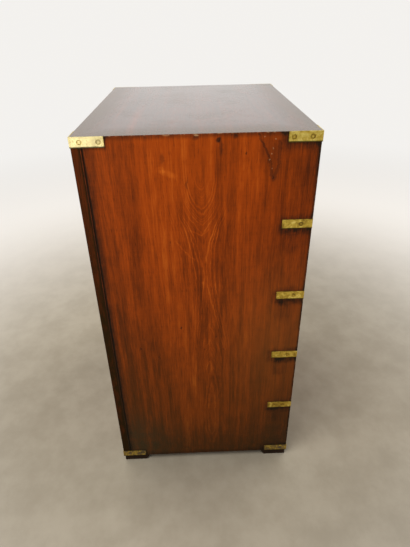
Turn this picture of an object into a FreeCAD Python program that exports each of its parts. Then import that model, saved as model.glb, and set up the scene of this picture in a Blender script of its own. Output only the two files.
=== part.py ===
import FreeCAD, Part
import math
import os

# A chest of drawers in the campaign style: a mitred case of solid boards on block
# feet, a framed back, five flush drawers with dovetailed corners, recessed swing
# handles and till locks, and brass angle straps let into the corners of the case.
#
# Lengths are millimetres and angles are degrees. X runs to the right, Y to the back
# and Z up. The origin is on the floor, below the middle of the case. Drawers are
# numbered from the top.

Vector = FreeCAD.Vector

# Case, measured over the wood
case_width = 594.0
case_depth = 460.0
case_height = 890.0
board = 20.0
quirk_from_edge = 4.0
quirk_width = 2.0
quirk_depth = 1.5

# Feet
foot_height = 20.0
foot_length = 72.0
foot_taper = 12.0
foot_inset = 2.0

# Rails, runners and dust boards between the drawers
drawer_count = 5
rail_height = 20.0
rail_depth = 60.0
housing_depth = 6.0
housing_stop = 10.0
runner_width = 18.0
dust_board = 6.0
dust_groove = 6.0
stop_length = 30.0
stop_width = 12.0
stop_height = 5.0
stop_from_side = 70.0
stop_clearance = 0.3

# Framed back
back_thickness = 16.0
stile_width = 60.0
back_rail_width = 60.0
back_panel = 8.0
back_groove = 8.0
panel_gap = 0.5

# Brass angle straps, as high as the edge that they cover
strap_thickness = 2.0
strap_side_leg = 62.0
strap_face_leg = 45.0
corner_strap_proud = 1.2
divider_strap_proud = 0.3

# Drawer boxes
drawer_side_clearance = 1.0
drawer_floor_clearance = 0.3
drawer_top_clearance = 1.5
drawer_back_space = 14.0
drawer_front = 22.0
drawer_side = 11.0
drawer_back = 11.0
drawer_back_drop = 8.0
drawer_side_drop = 2.0
drawer_bottom = 6.0
drawer_bottom_height = 10.0
bottom_groove = 5.0

# Dovetails
front_lap = 5.0
tails = 4
pin_width = 5.0
tail_angle = 8.0

# Recessed swing handles
handle_spacing = 300.0
handle_plate_width = 96.0
handle_plate_height = 46.0
handle_plate_thickness = 2.0
cup_width = 68.0
cup_height = 34.0
cup_depth = 10.0
cup_wall = 2.0
cup_radius = 6.0
cup_clearance = 0.3
bail_bar = 7.0
bail_thickness = 4.5
bail_side_clearance = 0.6
pivot_below_cup_top = 5.0
pivot_behind_face = 3.0
pivot_radius = 1.5
pivot_length = 2.0
pivot_clearance = 0.1

# Till locks
lock_width = 50.0
lock_height = 38.0
lock_thickness = 9.0
selvedge_length = 64.0
selvedge_thickness = 2.0
bolt_width = 22.0
bolt_height = 12.0
bolt_thickness = 4.0
bolt_travel = 8.0
bolt_clearance = 0.3
mortise_clearance = 1.0
keyhole_below_top = 26.0
keyhole_radius = 2.7
keyhole_slot = 2.4
keyhole_length = 9.0
keyhole_in_lock = 4.0
escutcheon_margin = 4.0
escutcheon_depth = 2.0

# Levels and half sizes that follow from the values above
half_width = case_width / 2
half_depth = case_depth / 2
front_face = -half_depth
rear_face = half_depth
case_bottom = foot_height
case_top = foot_height + case_height
inner_half_width = half_width - board
back_inner_face = rear_face - back_thickness
drawers_height = case_height - 2 * board - (drawer_count - 1) * rail_height
opening_height = drawers_height / drawer_count

front_half_width = inner_half_width - drawer_side_clearance
front_low = drawer_floor_clearance
front_high = opening_height - drawer_top_clearance
front_inner_face = front_face + drawer_front
side_high = front_high - drawer_side_drop
drawer_rear = back_inner_face - drawer_back_space
bottom_low = front_low + drawer_bottom_height
bottom_high = bottom_low + drawer_bottom
handle_height = (front_low + front_high) / 2
cup_top = handle_height + cup_height / 2
pivot_height = cup_top - pivot_below_cup_top
pivot_y = front_face + pivot_behind_face
bail_half_width = cup_width / 2 - bail_side_clearance
lock_middle = front_inner_face - lock_thickness / 2


def block(x0, x1, y0, y1, z0, z1):
    """A rectangular block between two opposite corners."""
    return Part.makeBox(x1 - x0, y1 - y0, z1 - z0, Vector(x0, y0, z0))


def prism(points, along):
    """The polygon through the points, extruded by the vector."""
    outline = Part.makePolygon(points + points[:1])
    return Part.Face(outline).extrude(along)


def cut_out(shape, tools):
    """What is left of the shape when the tools are taken away."""
    return shape.cut(tools).removeSplitter()


def mirror_x(shape):
    """The shape's mirror image on the other side of the case."""
    return shape.mirror(Vector(0, 0, 0), Vector(1, 0, 0))


def mirror_y(shape):
    """The shape's mirror image from back to front."""
    return shape.mirror(Vector(0, 0, 0), Vector(0, 1, 0))


def opening_floor(n):
    """Height of the surface that drawer n runs on."""
    return case_top - board - n * opening_height - (n - 1) * rail_height


def rail_floor(n):
    """Height of the underside of the rail below drawer n."""
    return opening_floor(n) - rail_height


def raised(shape, height):
    """A copy of the shape, moved up."""
    return shape.translated(Vector(0, 0, height))


# Brass straps


def angle_strap(low, height, proud):
    """A strap round the rear right edge of the case, from low upwards."""
    outer_x = half_width + proud
    outer_y = half_depth + proud
    inner_x = outer_x - strap_thickness
    inner_y = outer_y - strap_thickness
    side_end = half_depth - strap_side_leg
    face_end = half_width - strap_face_leg
    outline = [
        Vector(outer_x, outer_y, low),
        Vector(face_end, outer_y, low),
        Vector(face_end, inner_y, low),
        Vector(inner_x, inner_y, low),
        Vector(inner_x, side_end, low),
        Vector(outer_x, side_end, low),
    ]
    return prism(outline, Vector(0, 0, height))


def corner_straps():
    """Eight straps on the top and bottom corners of the case."""
    straps = []
    for low in (case_top - board, case_bottom):
        rear_right = angle_strap(low, board, corner_strap_proud)
        front_right = mirror_y(rear_right)
        straps += [rear_right, mirror_x(rear_right), front_right, mirror_x(front_right)]
    return straps


def divider_straps():
    """Two straps for each rail, round the front edges of the case."""
    straps = []
    for n in range(1, drawer_count):
        right = mirror_y(angle_strap(rail_floor(n), rail_height, divider_strap_proud))
        straps += [right, mirror_x(right)]
    return straps


# Case


def case_side():
    """The right end, mitred to the top and bottom and housed for the rails."""
    outline = [
        Vector(half_width, front_face, case_bottom),
        Vector(half_width, front_face, case_top),
        Vector(inner_half_width, front_face, case_top - board),
        Vector(inner_half_width, front_face, case_bottom + board),
    ]
    side = prism(outline, Vector(0, back_inner_face - front_face, 0))
    housings = [
        block(
            inner_half_width,
            inner_half_width + housing_depth,
            front_face + housing_stop,
            back_inner_face,
            rail_floor(n),
            opening_floor(n),
        )
        for n in range(1, drawer_count)
    ]
    quirk_y = back_inner_face - quirk_from_edge
    quirk = prism(
        [
            Vector(half_width, quirk_y - quirk_width / 2, case_bottom),
            Vector(half_width, quirk_y + quirk_width / 2, case_bottom),
            Vector(half_width - quirk_depth, quirk_y, case_bottom),
        ],
        Vector(0, 0, case_height),
    )
    return cut_out(side, housings + [quirk] + corner_straps() + divider_straps())


def flat_board(outer_z, inner_z):
    """The top or bottom board, with its ends mitred towards the inside of the case."""
    outline = [
        Vector(-half_width, front_face, outer_z),
        Vector(half_width, front_face, outer_z),
        Vector(inner_half_width, front_face, inner_z),
        Vector(-inner_half_width, front_face, inner_z),
    ]
    return prism(outline, Vector(0, case_depth, 0))


def bolt_mortise(ceiling):
    """The hole above a drawer opening that its lock bolt rises into."""
    reach = bolt_travel - drawer_top_clearance + mortise_clearance
    half_length = bolt_width / 2 + mortise_clearance
    half_thickness = bolt_thickness / 2 + mortise_clearance
    return block(
        -half_length,
        half_length,
        lock_middle - half_thickness,
        lock_middle + half_thickness,
        ceiling,
        ceiling + reach,
    )


def top_board():
    """The top, with the mortise for the upper drawer's bolt."""
    plain = flat_board(case_top, case_top - board)
    return cut_out(plain, corner_straps() + [bolt_mortise(case_top - board)])


def bottom_board():
    """The bottom, which the lowest drawer runs on."""
    return cut_out(flat_board(case_bottom, case_bottom + board), corner_straps())


def divider_rail(n):
    """The rail below drawer n, with its ends housed in the sides."""
    low = rail_floor(n)
    high = opening_floor(n)
    end = inner_half_width + housing_depth
    back_edge = front_face + rail_depth
    rail = block(-end, end, front_face, back_edge, low, high)
    corner = block(inner_half_width, end, front_face, front_face + housing_stop, low, high)
    groove_low = (low + high - dust_board) / 2
    groove = block(-end, end, back_edge - dust_groove, back_edge, groove_low, groove_low + dust_board)
    tools = [corner, mirror_x(corner), groove, bolt_mortise(low)]
    return cut_out(rail, tools + divider_straps())


def runner_pair(n):
    """The runners below drawer n, housed in the sides and grooved for the dust board."""
    low = rail_floor(n)
    high = opening_floor(n)
    start = front_face + rail_depth
    inner = inner_half_width - runner_width
    groove_low = (low + high - dust_board) / 2
    runner = block(inner, inner_half_width + housing_depth, start, back_inner_face, low, high)
    groove = block(
        inner, inner + dust_groove, start, back_inner_face, groove_low, groove_low + dust_board
    )
    right = cut_out(runner, [groove])
    return [right, mirror_x(right)]


def dust_board_panel(n):
    """The dust board below drawer n, in the grooves of its rail and runners."""
    groove_low = (rail_floor(n) + opening_floor(n) - dust_board) / 2
    edge = inner_half_width - runner_width + dust_groove - panel_gap
    start = front_face + rail_depth - dust_groove + panel_gap
    return block(
        -edge, edge, start, back_inner_face - panel_gap, groove_low, groove_low + dust_board
    )


def drawer_stop_pair(n):
    """The blocks that drawer n's front closes against."""
    low = opening_floor(n)
    start = front_inner_face + stop_clearance
    outer = inner_half_width - stop_from_side
    right = block(outer - stop_length, outer, start, start + stop_width, low, low + stop_height)
    return [right, mirror_x(right)]


def back_groove_start():
    """Y of the front of the grooves and panels of the back, which are centred in it."""
    return back_inner_face + (back_thickness - back_panel) / 2


def back_stile():
    """The right stile of the back, mitred with the side and grooved on its inner edge."""
    inner = half_width - stile_width
    low = case_bottom + board
    high = case_top - board
    outline = [
        Vector(half_width, back_inner_face, case_bottom),
        Vector(half_width, back_inner_face, case_top),
        Vector(inner_half_width, back_inner_face, high),
        Vector(inner, back_inner_face, high),
        Vector(inner, back_inner_face, low),
        Vector(inner_half_width, back_inner_face, low),
    ]
    stile = prism(outline, Vector(0, back_thickness, 0))
    groove_y = back_groove_start()
    groove = block(inner, inner + back_groove, groove_y, groove_y + back_panel, low, high)
    return cut_out(stile, [groove] + corner_straps())


def back_rail(low, grooved_below, grooved_above):
    """A rail of the back, from low upwards, with stub tenons in the stiles' grooves."""
    shoulder = half_width - stile_width
    end = shoulder + back_groove
    high = low + back_rail_width
    start = back_groove_start()
    stop = start + back_panel
    body = block(-shoulder, shoulder, back_inner_face, rear_face, low, high)
    tongue = block(-end, end, start, stop, low, high)
    grooves = []
    if grooved_below:
        grooves.append(block(-end, end, start, stop, low, low + back_groove))
    if grooved_above:
        grooves.append(block(-end, end, start, stop, high - back_groove, high))
    return cut_out(body.fuse(tongue), grooves)


def back_rail_floors():
    """Heights of the undersides of the back's bottom, middle and top rails."""
    low = case_bottom + board
    high = case_top - board - back_rail_width
    return [low, (low + high) / 2, high]


def back_rails():
    """The three rails of the back."""
    low, middle, high = back_rail_floors()
    return [
        back_rail(low, False, True),
        back_rail(middle, True, True),
        back_rail(high, True, False),
    ]


def back_panels():
    """The two panels of the back."""
    edge = half_width - stile_width + back_groove - panel_gap
    start = back_groove_start()
    floors = back_rail_floors()
    panels = []
    for rail_below, rail_above in zip(floors, floors[1:]):
        low = rail_below + back_rail_width - back_groove + panel_gap
        high = rail_above + back_groove - panel_gap
        panels.append(block(-edge, edge, start, start + back_panel, low, high))
    return panels


def feet():
    """Four block feet, whose inner faces slope towards the corners of the case."""
    outer_x = half_width - foot_inset
    outer_y = half_depth - foot_inset
    sole = foot_length - foot_taper
    seen_from_front = [
        Vector(outer_x, outer_y, 0),
        Vector(outer_x, outer_y, foot_height),
        Vector(outer_x - foot_length, outer_y, foot_height),
        Vector(outer_x - sole, outer_y, 0),
    ]
    seen_from_side = [
        Vector(outer_x, outer_y, 0),
        Vector(outer_x, outer_y, foot_height),
        Vector(outer_x, outer_y - foot_length, foot_height),
        Vector(outer_x, outer_y - sole, 0),
    ]
    across = prism(seen_from_side, Vector(-foot_length, 0, 0))
    rear_right = prism(seen_from_front, Vector(0, -foot_length, 0)).common(across)
    front_right = mirror_y(rear_right)
    return [rear_right, mirror_x(rear_right), front_right, mirror_x(front_right)]


# Drawer boxes, with the surface that the drawer runs on at height 0


def dovetail_pins(tip_y, root_y, low, high):
    """Pins through the right drawer side, which widen from tip_y towards root_y."""
    pitch = (high - low) / tails
    flare = abs(root_y - tip_y) * math.tan(math.radians(tail_angle))
    tip = pin_width / 2
    root = tip + flare
    x = front_half_width - drawer_side
    pins = []
    for k in range(tails + 1):
        middle = low + k * pitch
        outline = [
            Vector(x, tip_y, middle - tip),
            Vector(x, tip_y, middle + tip),
            Vector(x, root_y, middle + root),
            Vector(x, root_y, middle - root),
        ]
        pins.append(prism(outline, Vector(drawer_side, 0, 0)))
    height_range = block(
        x, front_half_width, min(tip_y, root_y), max(tip_y, root_y), low, high
    )
    return [pin.common(height_range) for pin in pins]


def bottom_space():
    """The room that the drawer bottom takes in the grooves of the front and sides."""
    edge = front_half_width - drawer_side + bottom_groove
    return block(
        -edge, edge, front_inner_face - bottom_groove, drawer_rear, bottom_low, bottom_high
    )


def drawer_side_board():
    """The right side, with tails at both ends and a groove for the bottom."""
    side = block(
        front_half_width - drawer_side,
        front_half_width,
        front_face + front_lap,
        drawer_rear,
        front_low,
        side_high,
    )
    front_pins = dovetail_pins(front_face + front_lap, front_inner_face, front_low, side_high)
    back_pins = dovetail_pins(
        drawer_rear, drawer_rear - drawer_back, bottom_high, side_high - drawer_back_drop
    )
    return cut_out(side, front_pins + back_pins + [bottom_space()])


def drawer_sides():
    """Both sides of a drawer."""
    right = drawer_side_board()
    return [right, mirror_x(right)]


def drawer_back_board():
    """The back, which stands on the bottom and has pins between the sides' tails."""
    board_box = block(
        -front_half_width,
        front_half_width,
        drawer_rear - drawer_back,
        drawer_rear,
        bottom_high,
        side_high - drawer_back_drop,
    )
    return cut_out(board_box, drawer_sides())


def drawer_bottom_board():
    """The bottom, with room to move in its grooves."""
    edge = front_half_width - drawer_side + bottom_groove - panel_gap
    start = front_inner_face - bottom_groove + panel_gap
    return block(-edge, edge, start, drawer_rear, bottom_low, bottom_high)


def drawer_front_board():
    """The front, socketed for the sides and cut for its handles and lock."""
    front = block(
        -front_half_width, front_half_width, front_face, front_inner_face, front_low, front_high
    )
    tools = drawer_sides() + [bottom_space(), lock_envelope(), key_space()]
    tools += [escutcheon_blank()]
    for x in (-handle_spacing / 2, handle_spacing / 2):
        tools.append(handle_recess(x))
    return cut_out(front, tools)


# Recessed swing handles


def cup_block(x, margin, y0, y1):
    """A block as wide and high as the hollow of the cup and the margin all round."""
    return block(
        x - cup_width / 2 - margin,
        x + cup_width / 2 + margin,
        y0,
        y1,
        cup_top - cup_height - margin,
        cup_top + margin,
    )


def round_lower_corners(shape, radius):
    """The shape with the two edges that run along Y at its underside rounded."""
    low = shape.BoundBox.ZMin
    lower_edges = [
        edge
        for edge in shape.Edges
        if math.isclose(edge.BoundBox.ZMax, low, abs_tol=1e-3)
        and math.isclose(edge.BoundBox.XLength, 0, abs_tol=1e-3)
    ]
    return shape.makeFillet(radius, lower_edges)


def handle_plate_block(x):
    """The flat plate of a handle before its cup is opened."""
    return block(
        x - handle_plate_width / 2,
        x + handle_plate_width / 2,
        front_face,
        front_face + handle_plate_thickness,
        handle_height - handle_plate_height / 2,
        handle_height + handle_plate_height / 2,
    )


def handle_recess(x):
    """The pocket in the drawer front that the plate and its cup are let into."""
    pocket = cup_block(
        x, cup_wall + cup_clearance, front_face, front_face + cup_depth + cup_wall
    )
    return pocket.fuse(handle_plate_block(x))


def pivot_pins(x):
    """The two round pins on the bail's axis, each from the side of a leg outwards."""
    pins = []
    for side in (-1, 1):
        start = Vector(x + side * bail_half_width, pivot_y, pivot_height)
        pins.append(Part.makeCylinder(pivot_radius, pivot_length, start, Vector(side, 0, 0)))
    return pins


def pivot_sockets(x):
    """The square cast sockets in the ends of the cup that the pivot pins turn in."""
    reach = bail_half_width + pivot_length + pivot_clearance
    half = pivot_radius + pivot_clearance
    return block(
        x - reach, x + reach, pivot_y - half, pivot_y + half, pivot_height - half, pivot_height + half
    )


def handle_plate(x):
    """The plate and the cup behind it, with pivot sockets in the cup's two ends."""
    outside = cup_block(x, cup_wall, front_face, front_face + cup_depth + cup_wall)
    hollow = cup_block(x, 0, front_face, front_face + cup_depth)
    hollow = round_lower_corners(hollow, cup_radius)
    return cut_out(handle_plate_block(x).fuse(outside), [hollow, pivot_sockets(x)])


def bail(x):
    """The swing handle, a flat U-shaped bar with a pivot pin on each leg."""
    start = pivot_y - bail_thickness / 2
    stop = pivot_y + bail_thickness / 2
    low = cup_top - cup_height + bail_side_clearance
    high = pivot_height + bail_thickness / 2
    bar = block(x - bail_half_width, x + bail_half_width, start, stop, low, high)
    bar = round_lower_corners(bar, cup_radius - bail_side_clearance)
    half_hollow = bail_half_width - bail_bar
    hollow = block(x - half_hollow, x + half_hollow, start, stop, low + bail_bar, high)
    return bar.cut(hollow).fuse(pivot_pins(x)).removeSplitter()


# Till locks


def lock_envelope():
    """The lock case and its selvedge, as the drawer front is cut for them."""
    case = block(
        -lock_width / 2,
        lock_width / 2,
        front_inner_face - lock_thickness,
        front_inner_face,
        front_high - lock_height,
        front_high,
    )
    selvedge = block(
        -selvedge_length / 2,
        selvedge_length / 2,
        front_inner_face - lock_thickness,
        front_inner_face,
        front_high - selvedge_thickness,
        front_high,
    )
    return case.fuse(selvedge).removeSplitter()


def bolt_block(clearance, low):
    """A block round the bolt with the clearance on its sides, from low to its top."""
    return block(
        -bolt_width / 2 - clearance,
        bolt_width / 2 + clearance,
        lock_middle - bolt_thickness / 2 - clearance,
        lock_middle + bolt_thickness / 2 + clearance,
        low,
        front_high,
    )


def lock_bolt():
    """The bolt, drawn down into the lock case."""
    return bolt_block(0, front_high - bolt_height)


def keyhole_block(margin, y0, y1):
    """A block round the keyhole and the margin beside it."""
    middle = front_high - keyhole_below_top
    return block(
        -keyhole_radius - margin,
        keyhole_radius + margin,
        y0,
        y1,
        middle - keyhole_length - margin,
        middle + keyhole_radius + margin,
    )


def key_space():
    """The room for the key behind the escutcheon, through the front and into the lock."""
    start = front_face + escutcheon_depth
    return keyhole_block(0, start, front_inner_face - lock_thickness + keyhole_in_lock)


def escutcheon_blank():
    """The escutcheon before its keyhole is cut."""
    return keyhole_block(escutcheon_margin, front_face, front_face + escutcheon_depth)


def escutcheon():
    """A flush plate with a keyhole, a round hole over a slot."""
    stop = front_face + escutcheon_depth
    middle = front_high - keyhole_below_top
    start = Vector(0, front_face, middle)
    hole = Part.makeCylinder(keyhole_radius, escutcheon_depth, start, Vector(0, 1, 0))
    half_slot = keyhole_slot / 2
    slot = block(-half_slot, half_slot, front_face, stop, middle - keyhole_length, middle)
    return cut_out(escutcheon_blank(), [hole, slot])


def lock_case():
    """The lock case and selvedge with their bolt channel and key opening."""
    channel = bolt_block(bolt_clearance, front_high - bolt_height - bolt_clearance)
    return cut_out(lock_envelope(), [channel, key_space()])


# Files


def save(name, shapes):
    """Write the solids of the shapes to one STEP file."""
    solids = [solid for shape in shapes for solid in shape.Solids]
    shape = solids[0] if len(solids) == 1 else Part.makeCompound(solids)
    shape.exportStep(os.path.join("parts", name + ".step"))


def save_case():
    """Write every piece of the case."""
    right_side = case_side()
    save("right_side", [right_side])
    save("left_side", [mirror_x(right_side)])
    save("top_board", [top_board()])
    save("bottom_board", [bottom_board()])
    rails = range(1, drawer_count)
    save("divider_rails", [divider_rail(n) for n in rails])
    save("drawer_runners", [runner for n in rails for runner in runner_pair(n)])
    save("dust_boards", [dust_board_panel(n) for n in rails])
    drawers = range(1, drawer_count + 1)
    save("drawer_stops", [stop for n in drawers for stop in drawer_stop_pair(n)])
    right_stile = back_stile()
    save("back_stiles", [right_stile, mirror_x(right_stile)])
    save("back_rails", back_rails())
    save("back_panels", back_panels())
    save("feet", feet())
    save("corner_straps", corner_straps())
    save("divider_straps", divider_straps())


def save_drawers():
    """Write every piece of each drawer, at the height of its opening."""
    left_handle = -handle_spacing / 2
    right_handle = handle_spacing / 2
    pieces = {
        "front": [drawer_front_board()],
        "sides": drawer_sides(),
        "back": [drawer_back_board()],
        "bottom": [drawer_bottom_board()],
        "handle_plates": [handle_plate(left_handle), handle_plate(right_handle)],
        "bail_left": [bail(left_handle)],
        "bail_right": [bail(right_handle)],
        "lock": [lock_case(), escutcheon()],
        "lock_bolt": [lock_bolt()],
    }
    for n in range(1, drawer_count + 1):
        for name, shapes in pieces.items():
            placed = [raised(shape, opening_floor(n)) for shape in shapes]
            save(f"drawer_{n}_{name}", placed)


os.makedirs("parts", exist_ok=True)
save_case()
save_drawers()
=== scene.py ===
import math
import random

import bmesh
import bpy
from mathutils import Matrix, Vector


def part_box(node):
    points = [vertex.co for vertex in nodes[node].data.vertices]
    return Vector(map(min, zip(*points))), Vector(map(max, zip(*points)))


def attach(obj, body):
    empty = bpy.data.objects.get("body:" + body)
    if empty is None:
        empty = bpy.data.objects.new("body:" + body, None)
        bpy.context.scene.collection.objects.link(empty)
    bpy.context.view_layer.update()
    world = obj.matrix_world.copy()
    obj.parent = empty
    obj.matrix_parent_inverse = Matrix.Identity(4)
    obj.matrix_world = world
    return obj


# The looks of a campaign chest. Lengths are metres in the row frame: X runs to the
# chest's right, Y to its back and Z up. The side that the camera faces is the left.

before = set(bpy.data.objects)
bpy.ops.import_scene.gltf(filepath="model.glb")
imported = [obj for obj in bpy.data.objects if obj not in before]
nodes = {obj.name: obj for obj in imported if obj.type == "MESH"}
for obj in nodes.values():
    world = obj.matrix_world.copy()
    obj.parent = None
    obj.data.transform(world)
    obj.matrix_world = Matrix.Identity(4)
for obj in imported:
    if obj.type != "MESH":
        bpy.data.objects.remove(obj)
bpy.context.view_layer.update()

DRAWERS = range(1, 6)

# Faces of the case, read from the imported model
side_low, side_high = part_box("left_side")
_, stile_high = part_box("back_stiles")
_, strap_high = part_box("corner_straps")
divider_low, divider_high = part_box("divider_straps")
front_boxes = {n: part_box(f"drawer_{n}_front") for n in DRAWERS}
HALF_WIDTH = stile_high.x
HALF_DEPTH = stile_high.y
CASE_LOW = side_low.z
CASE_HIGH = side_high.z

# Heights of the straps' middles, at the corners of the case and at the rails
STRAP_HALF = 0.010
CORNER_LEVELS = [CASE_LOW + STRAP_HALF, CASE_HIGH - STRAP_HALF]
RAIL_LEVELS = [(front_boxes[n][0].z + front_boxes[n + 1][1].z) / 2 for n in DRAWERS[:-1]]

# Screw heads: their radius in the straps and in the handle plates, how far they stand
# above the face there, their depth and slot, and the gap between a head and its seat
HEAD = 0.0036
PLATE_HEAD = 0.0026
HEAD_RISE = -0.00015
PLATE_HEAD_RISE = 0.0003
HEAD_DEPTH = 0.0012
SLOT_HALF = 0.0006
SLOT_DEPTH = 0.0007
SEAT_GAP = 0.0004
# How far a strap's screws are from its corner, and a plate's from its middle
CORNER_SIDE_SCREWS = (0.018, 0.0525)
CORNER_FACE_SCREWS = (0.012, 0.034)
DIVIDER_SCREW = 0.0235
PLATE_SCREW_ASIDE = 0.0415
PLATE_SCREW_ABOVE = 0.0165

# How far the edges are eased
WOOD_EDGE = 0.0006
BRASS_EDGE = 0.0003
SCREW_EDGE = 0.00015


# Node building


class Field:
    """A number or a colour that varies over a surface."""

    def __init__(self, paint, socket):
        self.paint = paint
        self.socket = socket

    def __add__(self, other):
        return self.paint.math("ADD", self, other)

    def __sub__(self, other):
        return self.paint.math("SUBTRACT", self, other)

    def __rsub__(self, other):
        return self.paint.math("SUBTRACT", other, self)

    def __mul__(self, other):
        return self.paint.math("MULTIPLY", self, other)

    def __truediv__(self, other):
        return self.paint.math("DIVIDE", self, other)

    def __abs__(self):
        return self.paint.math("ABSOLUTE", self)

    def step(self, low, high, out_low=0.0, out_high=1.0):
        """A smooth change from out_low to out_high as the field goes from low to high."""
        node = self.paint.node("ShaderNodeMapRange", interpolation_type="SMOOTHSTEP")
        limits = (self, low, high, out_low, out_high)
        for socket, value in zip(node.inputs[:5], limits):
            self.paint.put(socket, value)
        return Field(self.paint, node.outputs[0])

    def hump(self, middle, half):
        """1 where the field is at the middle, falling smoothly to 0 at half away."""
        return abs(self - middle).step(0.0, half, 1.0, 0.0)

    def swing(self, size):
        """A field from 0 to 1 as a change of up to half the size, up or down."""
        return (self - 0.5) * size


class Paint:
    """Adds nodes to one material or world by short calls."""

    def __init__(self, tree):
        self.tree = tree
        tree.nodes.clear()

    def node(self, kind, **settings):
        made = self.tree.nodes.new(kind)
        for key, value in settings.items():
            setattr(made, key, value)
        return made

    def put(self, socket, value):
        if isinstance(value, Field):
            self.tree.links.new(value.socket, socket)
        elif socket.type == "RGBA" and len(value) == 3:
            socket.default_value = (*value, 1.0)
        else:
            socket.default_value = value

    def math(self, operation, *values):
        node = self.node("ShaderNodeMath", operation=operation)
        for socket, value in zip(node.inputs, values):
            self.put(socket, value)
        return Field(self, node.outputs[0])

    def larger(self, a, b):
        return self.math("MAXIMUM", a, b)

    def smaller(self, a, b):
        return self.math("MINIMUM", a, b)

    def length(self, *parts):
        """Square root of the sum of the squares."""
        total = parts[0] * parts[0]
        for part in parts[1:]:
            total = total + part * part
        return self.math("SQRT", total)

    def place(self):
        """The three coordinates in the row frame, which stay with the piece as it moves."""
        source = self.node("ShaderNodeTexCoord")
        split = self.node("ShaderNodeSeparateXYZ")
        self.tree.links.new(source.outputs["Object"], split.inputs[0])
        return [Field(self, out) for out in split.outputs]

    def noise(self, parts, detail=2.0, roughness=0.5, distortion=0.0):
        """Smooth noise from about 0 to 1, over already scaled coordinates."""
        place = self.node("ShaderNodeCombineXYZ")
        for socket, value in zip(place.inputs, parts):
            self.put(socket, value)
        node = self.node("ShaderNodeTexNoise")
        self.tree.links.new(place.outputs[0], node.inputs["Vector"])
        node.inputs["Distortion"].default_value = distortion
        return self.noise_field(node, detail, roughness)

    def line_noise(self, value, detail=2.0, roughness=0.5):
        """Smooth noise from about 0 to 1 along one scaled number."""
        node = self.node("ShaderNodeTexNoise", noise_dimensions="1D")
        self.put(node.inputs["W"], value)
        return self.noise_field(node, detail, roughness)

    def noise_field(self, node, detail, roughness):
        """The field of a noise node whose place is already scaled."""
        node.inputs["Scale"].default_value = 1.0
        node.inputs["Detail"].default_value = detail
        node.inputs["Roughness"].default_value = roughness
        return Field(self, node.outputs["Fac"])

    def stains(self, parts):
        """Ragged noise, for stains and their outlines."""
        return self.noise(parts, 4.0, 0.65)

    def curve(self, value, points):
        """A curve drawn through the given (value, result) points, with results from 0 to 1."""
        low = points[0][0]
        span = points[-1][0] - low
        node = self.node("ShaderNodeFloatCurve")
        line = node.mapping.curves[0]
        for at, result in points[1:-1]:
            line.points.new((at - low) / span, result)
        line.points[0].location = (0.0, points[0][1])
        line.points[len(line.points) - 1].location = (1.0, points[-1][1])
        node.mapping.update()
        self.put(node.inputs["Value"], (value - low) / span)
        return Field(self, node.outputs[0])

    def ramp(self, value, stops):
        """A colour from (position, colour) stops."""
        node = self.node("ShaderNodeValToRGB")
        elements = node.color_ramp.elements
        while len(elements) < len(stops):
            elements.new(1.0)
        for element, (position, colour) in zip(elements, stops):
            element.position = position
            element.color = (*colour, 1.0)
        self.put(node.inputs[0], value)
        return Field(self, node.outputs[0])

    def mix(self, share, a, b):
        """Colour a, turning to b as share goes to 1."""
        node = self.node("ShaderNodeMix", data_type="RGBA")
        for index, value in ((0, share), (6, a), (7, b)):
            self.put(node.inputs[index], value)
        return Field(self, node.outputs[2])

    def bump(self, height, depth):
        """A normal that raises the surface by height times depth metres."""
        node = self.node("ShaderNodeBump")
        node.inputs["Distance"].default_value = depth
        self.put(node.inputs["Height"], height)
        return Field(self, node.outputs[0])

    def near_segment(self, c, a, start, end, half):
        """1 on the straight line from start to end over coordinates c and a, falling
        to 0 at half away from it."""
        (c0, a0), (c1, a1) = start, end
        dc = c1 - c0
        da = a1 - a0
        square = dc * dc + da * da
        share = ((c - c0) * (dc / square)) + ((a - a0) * (da / square))
        share = self.smaller(self.larger(share, 0.0), 1.0)
        away = self.length(c - c0 - share * dc, a - a0 - share * da)
        return away.step(0.4 * half, half, 1.0, 0.0)

    def blot(self, c, a, c0, a0, half_c, half_a, share):
        """The share at a point, falling to 0 at an oval round it."""
        away = self.length((c - c0) / half_c, (a - a0) / half_a)
        return away.step(0.35, 1.0, share, 0.0)

    def near_box(self, c, a, middle, half_size, reach):
        """1 inside a rectangle, falling to 0 at reach outside it."""
        dc = self.larger(abs(c - middle[0]) - half_size[0], 0.0)
        da = self.larger(abs(a - middle[1]) - half_size[1], 0.0)
        return self.length(dc, da).step(0.0, reach, 1.0, 0.0)

    def light_path(self, kind):
        """1 for rays of that kind, otherwise 0."""
        return Field(self, self.node("ShaderNodeLightPath").outputs[kind])

    def mix_shaders(self, share, first, second):
        """The first shader's node, turning to the second as share goes to 1."""
        node = self.node("ShaderNodeMixShader")
        self.put(node.inputs[0], share)
        self.tree.links.new(first.outputs[0], node.inputs[1])
        self.tree.links.new(second.outputs[0], node.inputs[2])
        return node

    def output(self, shader, kind="Material"):
        """End the tree in that shader's node."""
        out = self.node("ShaderNodeOutput" + kind)
        self.tree.links.new(shader.outputs[0], out.inputs["Surface"])


def scaled(parts, scale):
    """Coordinates for a noise whose features are about 1 / scale metres wide."""
    return [part * scale for part in parts]


def new_paint(name):
    """A new material and the paint that fills it."""
    material = bpy.data.materials.new(name)
    material.use_nodes = True
    return material, Paint(material.node_tree)


def surface(paint, colour, roughness, normal, **others):
    """Fill the paint's material with one Principled shader. The others are further
    inputs by name, with _ for a space."""
    shader = paint.node("ShaderNodeBsdfPrincipled")
    paint.put(shader.inputs["Base Color"], colour)
    paint.put(shader.inputs["Roughness"], roughness)
    paint.put(shader.inputs["Normal"], normal)
    for key, value in others.items():
        paint.put(shader.inputs[key.replace("_", " ")], value)
    paint.output(shader)


def assign(material, *names):
    """Put the material on every slot of the named CAD nodes."""
    for name in names:
        piece = nodes[name]
        if not piece.material_slots:
            piece.data.materials.append(material)
        for slot in piece.material_slots:
            slot.material = material


# Wood

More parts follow.
